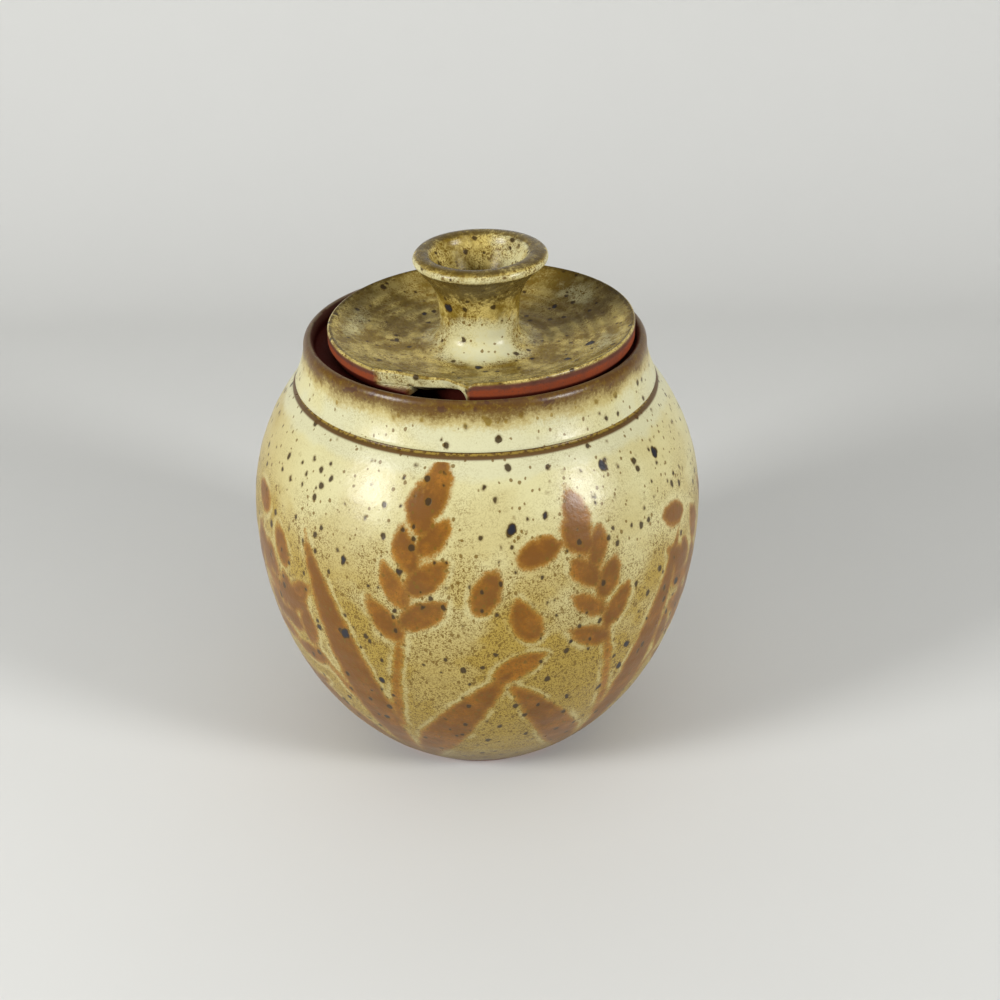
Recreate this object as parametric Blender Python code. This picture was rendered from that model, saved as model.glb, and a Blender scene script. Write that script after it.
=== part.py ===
"""Honey pot: a wheel-thrown stoneware jar and the dished lid that lifts off it.

Metres, +Z up. The pot stands on z = 0 with its turning axis on the Z axis. The lid hangs a little
off that axis, as it lies in the gallery of the rim, and its spoon notch faces the front left.
"""

import math

import bmesh
import bpy
from mathutils import Vector

# Running room between the two pieces
SEAT_GAP = 0.0003
LID_CLEARANCE = 0.0018
LID_SHIFT = 0.00145
CUT_OVERRUN = 0.002

# Body of the pot, from the foot to the groove under the collar
BELLY_RADIUS = 0.054
BELLY_HEIGHT = 0.0621
BASE_LINE_RADIUS = 0.02565
SHOULDER_RADIUS = 0.0426
SHOULDER_HEIGHT = 0.0944
BODY_CURVE_SHARE = 2.05

# Turned foot
FOOT_RADIUS = 0.0264
FOOT_HEIGHT = 0.0018
FOOT_EDGE_ROUND = 0.0005
FOOT_RING_WIDTH = 0.0068
FOOT_RECESS_DEPTH = 0.0016
FOOT_RECESS_SLOPE = 0.0015

# Groove and collar
GROOVE_DEPTH = 0.0009
GROOVE_WIDTH = 0.0012
COLLAR_FOOT_RADIUS = 0.0422
LIP_OUTER_RADIUS = 0.0398
LIP_OUTER_HEIGHT = 0.104
LIP_TOP_HEIGHT = 0.106
COLLAR_CURVE_SHARE = 1.6

# Gallery that carries the lid, and the mouth inside it
GALLERY_RADIUS = 0.0373
LEDGE_HEIGHT = 0.1027
LEDGE_WIDTH = 0.0055
LEDGE_THICKNESS = 0.0042
MOUTH_EDGE_ROUND = 0.0006

# Inside of the pot
WALL = 0.005
FLOOR_HEIGHT = 0.007
FLOOR_RADIUS = 0.022

# Lid: edge, seat and dish, with heights above the seat
EDGE_HEIGHT = 0.006
EDGE_ROUND = 0.0006
EDGE_FOOT_HEIGHT = 0.0026
SEAT_OUTER_INSET = 0.0012
SEAT_WIDTH = 0.0046
DISH_HEIGHT = 0.0004
DISH_CURVE_SHARE = 2.3
UNDERSIDE_DEPTH = 0.0038
UNDERSIDE_RADIUS = 0.026
EDGE_LEAN_RIGHT = 0.00078
EDGE_LEAN_BACK = 0.00046

# Knob, with heights above the seat
ROOT_RADIUS = 0.014
WAIST_RADIUS = 0.0092
WAIST_HEIGHT = 0.0046
FLARE_TOP_RADIUS = 0.0133
FLARE_TOP_HEIGHT = 0.018
FLARE_CURVE_SHARE = 3.3
RIM_CENTRE_RADIUS = 0.0131
RIM_CENTRE_HEIGHT = 0.0207
RIM_HALF_WIDTH = 0.0023
RIM_HALF_HEIGHT = 0.0016
RIM_START_ANGLE = math.radians(-68.0)
HOLLOW_FLOOR_HEIGHT = 0.0045
HOLLOW_FLOOR_RADIUS = 0.004
HOLLOW_CURVE_SHARE = 1.5
KNOB_SHIFT = 0.0004

# Spoon notch in the lid's edge
NOTCH_LEFT = math.radians(-41.5)
NOTCH_RIGHT = math.radians(-4.5)
NOTCH_RAMP_ANGLE = math.radians(24.0)
NOTCH_RAMP_SHARE = 0.7
NOTCH_CORNER_ANGLE = math.radians(5.0)
NOTCH_TOP_DEPTH = 0.0028
NOTCH_SEAT_DEPTH = 0.0047
NOTCH_STEP_HEIGHT = 0.0016
NOTCH_STEP_END = math.radians(-28.0)

# Facets
TURN_STEPS = 56
OUTSIDE_STEPS = 9
INSIDE_STEPS = 5
DISH_STEPS = 7
COLLAR_STEPS = 4
ROUND_STEPS = 6
NOTCH_STEPS = 24


def clear_scene():
    for obj in list(bpy.data.objects):
        bpy.data.objects.remove(obj, do_unlink=True)


def clay_material(name, color, roughness):
    material = bpy.data.materials.new(name)
    material.use_nodes = True
    shader = material.node_tree.nodes["Principled BSDF"]
    shader.inputs["Base Color"].default_value = (*color, 1.0)
    shader.inputs["Roughness"].default_value = roughness
    shader.inputs["Metallic"].default_value = 0.0
    return material


def arc(centre, half_width, half_height, start, end, steps):
    """Points (radius, height) on an ellipse, from the start angle to the end angle."""
    points = []
    for step in range(steps + 1):
        angle = start + (end - start) * step / steps
        points.append((centre[0] + half_width * math.cos(angle), centre[1] + half_height * math.sin(angle)))
    return points


def swell(widest, end_radius, widest_height, end_height, height):
    """Radius at a height of a thrown wall that curves from its widest ring to its end ring."""
    share = (height - widest_height) / (end_height - widest_height)
    drop = 1.0 - (end_radius / widest) ** 2
    return widest * math.sqrt(1.0 - drop * share**BODY_CURVE_SHARE)


def wall_line(widest, low_end, high_end, steps):
    """Points up a thrown wall, from its low end (radius, height) over its belly to its high end."""
    points = []
    for (end_radius, end_height), shares in (
        (low_end, [1.0 - step / steps for step in range(steps)]),
        (high_end, [step / steps for step in range(steps + 1)]),
    ):
        for share in shares:
            height = BELLY_HEIGHT + (end_height - BELLY_HEIGHT) * share
            points.append((swell(widest, end_radius, BELLY_HEIGHT, end_height, height), height))
    return points


def eased(start, end, power, steps):
    """Points from start to end whose radius grows with the given power of the way along."""
    points = []
    for step in range(steps + 1):
        share = step / steps
        radius = start[0] + (end[0] - start[0]) * share**power
        points.append((radius, start[1] + (end[1] - start[1]) * share))
    return points


def turned(name, profile, steps):
    """A closed body of revolution: the profile runs from the axis, round the outside, back to the axis."""
    mesh = bpy.data.meshes.new(name)
    shape = bmesh.new()
    verts = [shape.verts.new((radius, 0.0, height)) for radius, height in profile]
    edges = [shape.edges.new(pair) for pair in zip(verts, verts[1:])]
    bmesh.ops.spin(
        shape,
        geom=verts + edges,
        cent=(0.0, 0.0, 0.0),
        axis=(0.0, 0.0, 1.0),
        angle=2.0 * math.pi,
        steps=steps,
        use_merge=True,
    )
    bmesh.ops.remove_doubles(shape, verts=shape.verts, dist=SEAT_GAP / 100.0)
    bmesh.ops.recalc_face_normals(shape, faces=shape.faces)
    shape.to_mesh(mesh)
    shape.free()
    mesh.shade_smooth()
    mesh.set_sharp_from_angle(angle=math.radians(35.0))
    obj = bpy.data.objects.new(name, mesh)
    bpy.context.scene.collection.objects.link(obj)
    return obj


def pot_profile():
    """Outline of the pot's wall, from the middle of the underside, up the outside and down the inside."""
    foot_inner = FOOT_RADIUS - FOOT_RING_WIDTH
    mouth_radius = GALLERY_RADIUS - LEDGE_WIDTH
    lip_half_width = (LIP_OUTER_RADIUS - GALLERY_RADIUS) / 2.0
    lip_centre = (GALLERY_RADIUS + lip_half_width, LIP_OUTER_HEIGHT)
    shoulder = (SHOULDER_RADIUS, SHOULDER_HEIGHT)
    body = wall_line(BELLY_RADIUS, (BASE_LINE_RADIUS, 0.0), shoulder, OUTSIDE_STEPS)
    inner_end = (mouth_radius, LEDGE_HEIGHT - LEDGE_THICKNESS)
    inside = wall_line(BELLY_RADIUS - WALL, (FLOOR_RADIUS, FLOOR_HEIGHT), inner_end, INSIDE_STEPS)
    points = [
        (0.0, FOOT_RECESS_DEPTH),
        (foot_inner - FOOT_RECESS_SLOPE, FOOT_RECESS_DEPTH),
        (foot_inner, 0.0),
        (FOOT_RADIUS - FOOT_EDGE_ROUND, 0.0),
        (FOOT_RADIUS, FOOT_EDGE_ROUND),
        (FOOT_RADIUS, FOOT_HEIGHT),
    ]
    points += [point for point in body if point[1] > FOOT_HEIGHT]
    points.append((COLLAR_FOOT_RADIUS - GROOVE_DEPTH, SHOULDER_HEIGHT + GROOVE_WIDTH / 2.0))
    collar_foot = (COLLAR_FOOT_RADIUS, SHOULDER_HEIGHT + GROOVE_WIDTH)
    collar = eased((LIP_OUTER_RADIUS, LIP_OUTER_HEIGHT), collar_foot, COLLAR_CURVE_SHARE, COLLAR_STEPS)
    points += collar[::-1][:-1]
    points += arc(lip_centre, lip_half_width, LIP_TOP_HEIGHT - LIP_OUTER_HEIGHT, 0.0, math.pi, ROUND_STEPS)
    points.append((GALLERY_RADIUS, LEDGE_HEIGHT))
    points.append((mouth_radius + MOUTH_EDGE_ROUND, LEDGE_HEIGHT))
    points.append((mouth_radius, LEDGE_HEIGHT - MOUTH_EDGE_ROUND))
    points += inside[::-1]
    points.append((0.0, FLOOR_HEIGHT))
    return points


def lid_profile():
    """Outline of the lid, from the middle of its underside, round the edge and the knob, into the hollow."""
    edge_radius = GALLERY_RADIUS - LID_CLEARANCE
    seat_outer = edge_radius - SEAT_OUTER_INSET
    crest_radius = edge_radius - EDGE_ROUND
    points = [
        (0.0, -UNDERSIDE_DEPTH),
        (UNDERSIDE_RADIUS, -UNDERSIDE_DEPTH),
        (seat_outer - SEAT_WIDTH, 0.0),
        (seat_outer, 0.0),
        (edge_radius, EDGE_FOOT_HEIGHT),
    ]
    crest_centre = (crest_radius, EDGE_HEIGHT - EDGE_ROUND)
    points += arc(crest_centre, EDGE_ROUND, EDGE_ROUND, 0.0, math.pi / 2.0, ROUND_STEPS // 2)
    for step in range(1, DISH_STEPS):
        share = 1.0 - step / DISH_STEPS
        radius = ROOT_RADIUS + (crest_radius - ROOT_RADIUS) * share
        points.append((radius, DISH_HEIGHT + (EDGE_HEIGHT - DISH_HEIGHT) * share**DISH_CURVE_SHARE))
    root_centre = (ROOT_RADIUS, WAIST_HEIGHT)
    root_width = ROOT_RADIUS - WAIST_RADIUS
    root_height = WAIST_HEIGHT - DISH_HEIGHT
    points += arc(root_centre, root_width, root_height, -math.pi / 2.0, -math.pi, ROUND_STEPS // 2)
    flare_top = (FLARE_TOP_RADIUS, FLARE_TOP_HEIGHT)
    points += eased((WAIST_RADIUS, WAIST_HEIGHT), flare_top, FLARE_CURVE_SHARE, ROUND_STEPS)[1:]
    rim_centre = (RIM_CENTRE_RADIUS, RIM_CENTRE_HEIGHT)
    points += arc(rim_centre, RIM_HALF_WIDTH, RIM_HALF_HEIGHT, RIM_START_ANGLE, math.pi, ROUND_STEPS + 2)
    hollow_mouth = (RIM_CENTRE_RADIUS - RIM_HALF_WIDTH, RIM_CENTRE_HEIGHT)
    hollow = eased((HOLLOW_FLOOR_RADIUS, HOLLOW_FLOOR_HEIGHT), hollow_mouth, HOLLOW_CURVE_SHARE, ROUND_STEPS)
    points += hollow[::-1][1:]
    points.append((0.0, HOLLOW_FLOOR_HEIGHT))
    return points


def notch_section(azimuth):
    """Four corners of the notch cutter's section at one azimuth: its inner wall slopes inwards on the way down."""
    edge_radius = GALLERY_RADIUS - LID_CLEARANCE
    start = edge_radius + CUT_OVERRUN / 4.0
    ramp = min(1.0, (azimuth - NOTCH_LEFT) / NOTCH_RAMP_ANGLE) ** NOTCH_RAMP_SHARE
    corner = min(1.0, (NOTCH_RIGHT - azimuth) / NOTCH_CORNER_ANGLE)
    share = ramp * corner * corner * (3.0 - 2.0 * corner)
    high = EDGE_HEIGHT + CUT_OVERRUN
    low = NOTCH_STEP_HEIGHT if azimuth < NOTCH_STEP_END else -UNDERSIDE_DEPTH - CUT_OVERRUN
    slope = (NOTCH_SEAT_DEPTH - NOTCH_TOP_DEPTH) / EDGE_HEIGHT
    corners = []
    for radius_out, height in ((True, low), (True, high), (False, high), (False, low)):
        inner = start - share * (start - edge_radius + NOTCH_SEAT_DEPTH - slope * height)
        radius = start + NOTCH_SEAT_DEPTH if radius_out else inner
        corners.append(Vector((radius * math.sin(azimuth), -radius * math.cos(azimuth), height)))
    return corners


def notch_cutter(parent):
    """A swept block that cuts the notch: it leaves a low step at the left and goes right through beyond it."""
    mesh = bpy.data.meshes.new("notch_cutter")
    shape = bmesh.new()
    spread = NOTCH_RIGHT - NOTCH_LEFT
    rings = []
    for step in range(NOTCH_STEPS + 1):
        corners = notch_section(NOTCH_LEFT + spread * step / NOTCH_STEPS)
        rings.append([shape.verts.new(corner) for corner in corners])
    for ring, after in zip(rings, rings[1:]):
        for index in range(len(ring)):
            next_index = (index + 1) % len(ring)
            shape.faces.new((ring[index], ring[next_index], after[next_index], after[index]))
    shape.faces.new(rings[0])
    shape.faces.new(rings[-1])
    bmesh.ops.recalc_face_normals(shape, faces=shape.faces)
    shape.to_mesh(mesh)
    shape.free()
    cutter = bpy.data.objects.new("notch_cutter", mesh)
    bpy.context.scene.collection.objects.link(cutter)
    cutter.parent = parent
    cutter.hide_render = True
    cutter.display_type = "WIRE"
    return cutter


def lean_lid(mesh):
    """The thrown plate stands a little higher at its right and back, and its knob a little left of the middle."""
    reach = GALLERY_RADIUS - LID_CLEARANCE
    for vert in mesh.vertices:
        if vert.co.z >= DISH_HEIGHT and vert.co.xy.length < ROOT_RADIUS + SEAT_GAP:
            vert.co.x -= KNOB_SHIFT
        share = min(1.0, max(0.0, vert.co.z / EDGE_HEIGHT))
        vert.co.z += share * (EDGE_LEAN_RIGHT * vert.co.x + EDGE_LEAN_BACK * vert.co.y) / reach


def make_pot():
    pot = turned("pot_body", pot_profile(), TURN_STEPS)
    pot.data.materials.append(clay_material("speckled_glaze", (0.60, 0.50, 0.27), 0.35))
    return pot


def make_lid():
    lid = turned("lid", lid_profile(), TURN_STEPS)
    lean_lid(lid.data)
    lid.data.materials.append(clay_material("speckled_glaze_lid", (0.55, 0.47, 0.28), 0.35))
    lid.location = (LID_SHIFT, 0.0, LEDGE_HEIGHT + SEAT_GAP)
    cut = lid.modifiers.new("spoon_notch", "BOOLEAN")
    cut.operation = "DIFFERENCE"
    cut.solver = "EXACT"
    cut.object = notch_cutter(lid)
    return lid


clear_scene()
make_pot()
make_lid()
bpy.context.view_layer.update()
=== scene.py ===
"""Speckled stoneware honey pot: the finished surfaces that stand over the fixed solids.

Laid out as an add-on with one operator for each thrown piece and one for the stage, and run as a
script. Metres, +Z up; the pot stands on z = 0 with its turning axis on the Z axis.
"""

import math

import bpy
import numpy as np
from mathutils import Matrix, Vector


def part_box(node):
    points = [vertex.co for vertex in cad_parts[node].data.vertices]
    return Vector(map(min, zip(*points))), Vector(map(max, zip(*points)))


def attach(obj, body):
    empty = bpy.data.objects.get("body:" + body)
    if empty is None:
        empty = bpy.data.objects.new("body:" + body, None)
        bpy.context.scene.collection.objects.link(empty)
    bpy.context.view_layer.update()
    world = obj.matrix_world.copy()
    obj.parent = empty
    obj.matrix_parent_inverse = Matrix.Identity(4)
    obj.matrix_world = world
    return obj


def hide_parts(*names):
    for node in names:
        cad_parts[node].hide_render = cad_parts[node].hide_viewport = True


bl_info = {
    "name": "Speckled honey pot",
    "version": (1, 0, 0),
    "blender": (4, 5, 0),
    "location": "3D View > Sidebar > Honey pot",
    "description": "Finished stoneware surfaces for a lidded honey pot",
    "category": "Object",
}

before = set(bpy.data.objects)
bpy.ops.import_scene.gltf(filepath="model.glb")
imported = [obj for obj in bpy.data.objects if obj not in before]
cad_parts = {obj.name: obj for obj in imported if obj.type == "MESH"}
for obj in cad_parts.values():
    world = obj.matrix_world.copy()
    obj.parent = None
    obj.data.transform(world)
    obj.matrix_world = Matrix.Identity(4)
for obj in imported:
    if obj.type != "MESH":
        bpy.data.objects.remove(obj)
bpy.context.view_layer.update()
POT_LOW, POT_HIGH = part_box("pot_body")
LID_LOW, LID_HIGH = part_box("lid")

MM = 0.001  # a millimetre in metres
DEGREE = math.pi / 180
# Vertices nearer than a hair are one; a vertex within the slack counts as on a face
HAIR = MM / 100
SLACK = MM / 10

# Steps along the curves of the outlines, and round each thrown piece
WALL_STEPS = 118
INSIDE_STEPS = 30
GROOVE_STEPS = 8
DISH_STEPS = 44
POT_TURNS = 384
LID_TURNS = 480

# Heights between which the pot's finger rings are full, and the pitch of all rings
RINGS_FROM = 12 * MM
RINGS_TO = 88 * MM
COARSE_RING = 7.8 * MM
FINE_RING = 4.1 * MM
DISH_RING = 3.4 * MM
DISH_RING_DEPTH = 0.12 * MM
# Spread of the brown glaze in the groove
GROOVE_SPREAD = 0.7 * MM

# Band under the knob's rim, thin glaze and painted shade, from the rim's lowest ring
RIM_UNDERSIDE = (-1.2 * MM, 0.0, 0.6 * MM, 1.4 * MM)
# Painted reflections on the dish, pale patches laid as pools: azimuth from the front, spread, strength
DISH_SHEEN_PATCHES = ((-1.7, 0.35, 1.0), (2.25, 0.28, 1.0), (1.25, 0.30, 0.9))

# Lamps: name, degrees to the right of the camera, degrees up, distance, width, height
LAMPS = (
    ("lamp_left", -58, 22, 0.75, 0.18, 0.26),
    ("lamp_right", 57, 21, 0.8, 0.15, 0.23),
    ("lamp_top", 10, 72, 0.9, 0.8, 0.8),
)
AIM = Vector((0.0, 0.0, 0.07))
ROOM_TINT = (0.95, 0.97, 1.0, 1.0)
# Radius of the bend between floor and backdrop
SWEEP_RADIUS = 0.16


def number(name, default, description):
    return bpy.props.FloatProperty(name=name, default=default, description=description)


def length(name, default, description):
    return bpy.props.FloatProperty(
        name=name, default=default, description=description, subtype="DISTANCE", unit="LENGTH", precision=5
    )


def angle(name, degrees, description):
    return bpy.props.FloatProperty(
        name=name, default=math.radians(degrees), description=description, subtype="ANGLE"
    )


def colour(name, default, description):
    return bpy.props.FloatVectorProperty(
        name=name, default=default, description=description, subtype="COLOR", size=3, min=0.0, max=1.0
    )


def group(kind, name, description):
    return bpy.props.PointerProperty(type=kind, name=name, description=description)


class PotForm(bpy.types.PropertyGroup):
    """Sizes of the thrown pot"""

    belly_radius: length("Belly radius", (POT_HIGH[0] - POT_LOW[0]) / 2, "Widest radius of the body")
    belly_height: length("Belly height", 0.0621, "Height of the widest ring")
    base_line_radius: length("Base line radius", 0.02565, "Radius at which the body's curve meets the table")
    shoulder_radius: length("Shoulder radius", 0.0426, "Radius just under the groove")
    shoulder_height: length("Shoulder height", 0.0944, "Height just under the groove")
    curve_power: number("Curve power", 2.05, "Fullness of the body")
    foot_radius: length("Foot radius", 0.0264, "Outer radius of the turned foot")
    foot_height: length("Foot height", 0.0018, "Height of the bare foot")
    foot_ring: length("Foot ring", 0.0068, "Width of the ring that the pot stands on")
    foot_recess: length("Foot recess", 0.0016, "Depth turned out of the foot")
    groove_depth: length("Groove depth", 0.0009, "Depth of the groove under the collar")
    groove_width: length("Groove width", 0.0012, "Width of the groove")
    collar_radius: length("Collar radius", 0.0422, "Radius just above the groove")
    lip_radius: length("Lip radius", 0.0398, "Outer radius of the lip")
    lip_height: length("Lip height", 0.104, "Height at which the lip starts to round over")
    top_height: length("Top height", POT_HIGH[2], "Height of the lip's top")
    gallery_radius: length("Gallery radius", 0.0373, "Radius of the bare wall round the lid")
    ledge_height: length("Ledge height", 0.1027, "Height of the ledge that carries the lid")
    ledge_width: length("Ledge width", 0.0055, "Width of the ledge")
    ledge_thickness: length("Ledge thickness", 0.0042, "Thickness of the ledge at its edge")
    wall: length("Wall", 0.005, "Thickness of the wall at the belly")
    floor_height: length("Floor height", 0.007, "Height of the inside floor")
    floor_radius: length("Floor radius", 0.022, "Radius at which the inside floor turns up")
    ring_relief: length("Ring relief", 0.00012, "Depth of the finger rings left by throwing")


class LidForm(bpy.types.PropertyGroup):
    """Sizes of the thrown lid, with heights above its seat"""

    middle: length("Middle", (LID_LOW[0] + LID_HIGH[0]) / 2, "Place of the lid's own axis along X")
    seat: length("Seat", 0.103, "Height of the seat above the table")
    radius: length("Radius", (LID_HIGH[0] - LID_LOW[0]) / 2, "Radius of the bare edge")
    edge_height: length("Edge height", 0.006, "Height of the edge's crest")
    edge_round: length("Edge round", 0.0006, "Radius of the edge's shoulder")
    edge_foot: length("Edge foot", 0.0026, "Height of the slope under the edge")
    seat_inset: length("Seat inset", 0.0012, "Step from the edge in to the seat")
    seat_width: length("Seat width", 0.0046, "Width of the flat seat")
    dish_height: length("Dish height", 0.0004, "Height of the dish's floor")
    dish_power: number("Dish power", 2.3, "Hollowness of the dish")
    underside_depth: length("Underside depth", 0.0038, "Reach of the underside below the seat")
    underside_radius: length("Underside radius", 0.026, "Radius of the flat underside")
    lean: length("Lean", 0.00078, "Rise of the right side of the edge")
    lean_back: length("Lean back", 0.00046, "Rise of the back of the edge")
    root_radius: length("Root radius", 0.0140, "Radius at which the knob leaves the dish")
    waist_radius: length("Waist radius", 0.0092, "Narrowest radius of the knob")
    waist_height: length("Waist height", 0.0046, "Height of the knob's waist")
    flare_radius: length("Flare radius", 0.0133, "Radius under the knob's rim")
    flare_height: length("Flare height", 0.018, "Height under the knob's rim")
    flare_power: number("Flare power", 3.3, "Sharpness of the flare")
    rim_radius: length("Rim radius", 0.0131, "Radius to the middle of the knob's rim")
    rim_height: length("Rim height", 0.0207, "Height of the middle of the knob's rim")
    rim_half_width: length("Rim half width", 0.0023, "Half the width of the knob's rim")
    rim_half_height: length("Rim half height", 0.0016, "Half the height of the knob's rim")
    hollow_height: length("Hollow height", 0.0045, "Height of the floor of the knob's hollow")
    hollow_radius: length("Hollow radius", 0.004, "Radius of the floor of the knob's hollow")
    hollow_power: number("Hollow power", 1.5, "Taper of the hollow")
    knob_shift: length("Knob shift", 0.0004, "Step of the knob to the left of the middle")
    notch_left: angle("Notch left", -41.5, "Where the notch starts at the left")
    notch_right: angle("Notch right", -4.5, "Where the notch ends at the right")
    notch_ramp: angle("Notch ramp", 24.0, "Turn over which the notch deepens from its left end")
    notch_ramp_power: number("Notch ramp power", 0.7, "Fullness of the ramp")
    notch_corner: angle("Notch corner", 5.0, "Turn over which the right corner rounds")
    notch_top_depth: length("Notch top depth", 0.0036, "Depth of the notch at the dish")
    notch_seat_depth: length("Notch seat depth", 0.0070, "Depth of the notch at the seat")
    notch_step: length("Notch step", 0.0016, "Height of the clay left under the left half of the notch")
    notch_step_end: angle("Notch step end", -28.0, "Where that clay ends")
    notch_lip: length("Notch lip", 0.0010, "Swell of the dish above the notch")
    notch_wall_foot: length("Notch wall foot", 0.0026, "Height at which the notch's wall turns in")
    notch_slump: length("Notch slump", 0.0012, "Sag of the soft clay at the notch's right corner")


class GlazeColours(bpy.types.PropertyGroup):
    """Colours of glaze, iron and clay"""

    cream: colour("Cream", (0.60, 0.555, 0.295), "Glaze where it lies thick")
    white: colour("White", (0.585, 0.565, 0.355), "Glaze where it pools")
    straw: colour("Straw", (0.385, 0.270, 0.050), "Glaze where it lies thinner")
    stipple: colour("Stipple", (0.150, 0.084, 0.009), "Grain of fine iron in the glaze")
    olive: colour("Olive", (0.225, 0.152, 0.022), "Glaze over dark clay on the lid")
    olive_pale: colour("Olive pale", (0.60, 0.475, 0.150), "The lid's glaze where it lies thicker")
    brown: colour("Brown", (0.098, 0.041, 0.005), "Glaze that breaks brown on the lip and in the groove")
    umber: colour("Umber", (0.085, 0.053, 0.010), "Glaze that breaks brown on the lid")
    plum: colour("Plum", (0.068, 0.027, 0.016), "Edge where the glaze is thinnest")
    speck: colour("Speck", (0.040, 0.023, 0.008), "Coarse iron spots")
    speck_heart: colour("Speck heart", (0.020, 0.020, 0.027), "Middle of the largest spots")
    wash: colour("Wash", (0.34, 0.125, 0.004), "Brushed iron where it is even")
    wash_deep: colour("Wash deep", (0.155, 0.048, 0.0015), "Brushed iron where it lies heavy")
    wash_edge: colour("Wash edge", (0.36, 0.17, 0.015), "Brushed iron where it thins out")
    clay: colour("Clay", (0.25, 0.052, 0.017), "Bare fired clay")
    clay_plum: colour("Clay plum", (0.125, 0.045, 0.028), "Bare clay beside the glaze")
    # Bare clay darkened as painted shade, in the gallery and under the lid's edge
    shaded_clay: colour("Clay dark", (0.085, 0.012, 0.006), "Bare clay in the gallery")


class BrushDesign(bpy.types.PropertyGroup):
    """Sizes of the brushed blades and seed heads"""

    blade_length: length("Blade length", 0.076, "Rise of the longest blade")
    blade_width: length("Blade width", 0.0112, "Width of the broadest blade")
    stem_width: length("Stem width", 0.0030, "Width of a seed head's stem")
    seed_length: length("Seed length", 0.0118, "Length of one dab of the brush")
    seed_width: length("Seed width", 0.0070, "Width of one dab of the brush")
    reach: length("Reach", 0.007, "Distance to which the wash is measured")


class StudioStage(bpy.types.PropertyGroup):
    """Light, floor and camera"""

    camera_distance: length("Camera distance", 0.3229, "Distance of the camera in front of the axis")
    camera_height: length("Camera height", 0.2415, "Height of the camera")
    pitch: angle("Pitch", 29.28, "Tilt of the camera down from level")
    yaw: angle("Yaw", -0.97, "Turn of the camera to the side")
    roll: angle("Roll", -0.45, "Roll of the camera")
    lens: number("Lens", 54.0, "Focal length in millimetres")
    floor_size: length("Floor size", 1.6, "Width of the floor")
    wall_distance: length("Wall distance", 0.42, "Distance of the backdrop behind the pot")
    floor_colour: colour("Floor colour", (0.66, 0.66, 0.635), "Colour of floor and backdrop")
    left_power: number("Left power", 5.3, "Watts of the left lamp")
    right_power: number("Right power", 4.7, "Watts of the right lamp")
    top_power: number("Top power", 1.2, "Watts of the overhead lamp")
    room: number("Room", 0.12, "Strength of the room's own light")


class HoneyPotSettings(bpy.types.PropertyGroup):
    """All settings of the honey pot"""

    pot: group(PotForm, "Pot", "Sizes of the pot")
    lid: group(LidForm, "Lid", "Sizes of the lid")
    colours: group(GlazeColours, "Colours", "Colours of the surfaces")
    brush: group(BrushDesign, "Brush", "Sizes of the brushed design")
    stage: group(StudioStage, "Stage", "Light, floor and camera")


# Turned outlines, as lists of (radius, height)


def arc(centre, half_width, half_height, start, end, steps):
    """Points on an ellipse from the start angle to the end angle."""
    angles = [start + (end - start) * step / steps for step in range(steps + 1)]
    return [(centre[0] + half_width * math.cos(a), centre[1] + half_height * math.sin(a)) for a in angles]


def straight(start, end, steps):
    """Points from start towards end, without the end itself."""
    wide, tall = end[0] - start[0], end[1] - start[1]
    return [(start[0] + wide * step / steps, start[1] + tall * step / steps) for step in range(steps)]


def eased(start, end, power, steps):
    """Points whose radius grows with the given power of the way along."""
    wide, tall = end[0] - start[0], end[1] - start[1]
    return [
        (start[0] + wide * (step / steps) ** power, start[1] + tall * step / steps)
        for step in range(steps + 1)
    ]


def swell(widest, end_radius, widest_height, end_height, height, power):
    """Radius of a thrown wall that curves from its widest ring to its end ring."""
    along = (height - widest_height) / (end_height - widest_height)
    drop = 1.0 - (end_radius / widest) ** 2
    return widest * math.sqrt(max(0.0, 1.0 - drop * max(0.0, along) ** power))


def outer_radius(form, height):
    """Radius of the pot's outside at a height below the groove."""
    if height < form.belly_height:
        end_radius, end_height = form.base_line_radius, 0.0
    else:
        end_radius, end_height = form.shoulder_radius, form.shoulder_height
    return swell(form.belly_radius, end_radius, form.belly_height, end_height, height, form.curve_power)


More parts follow.
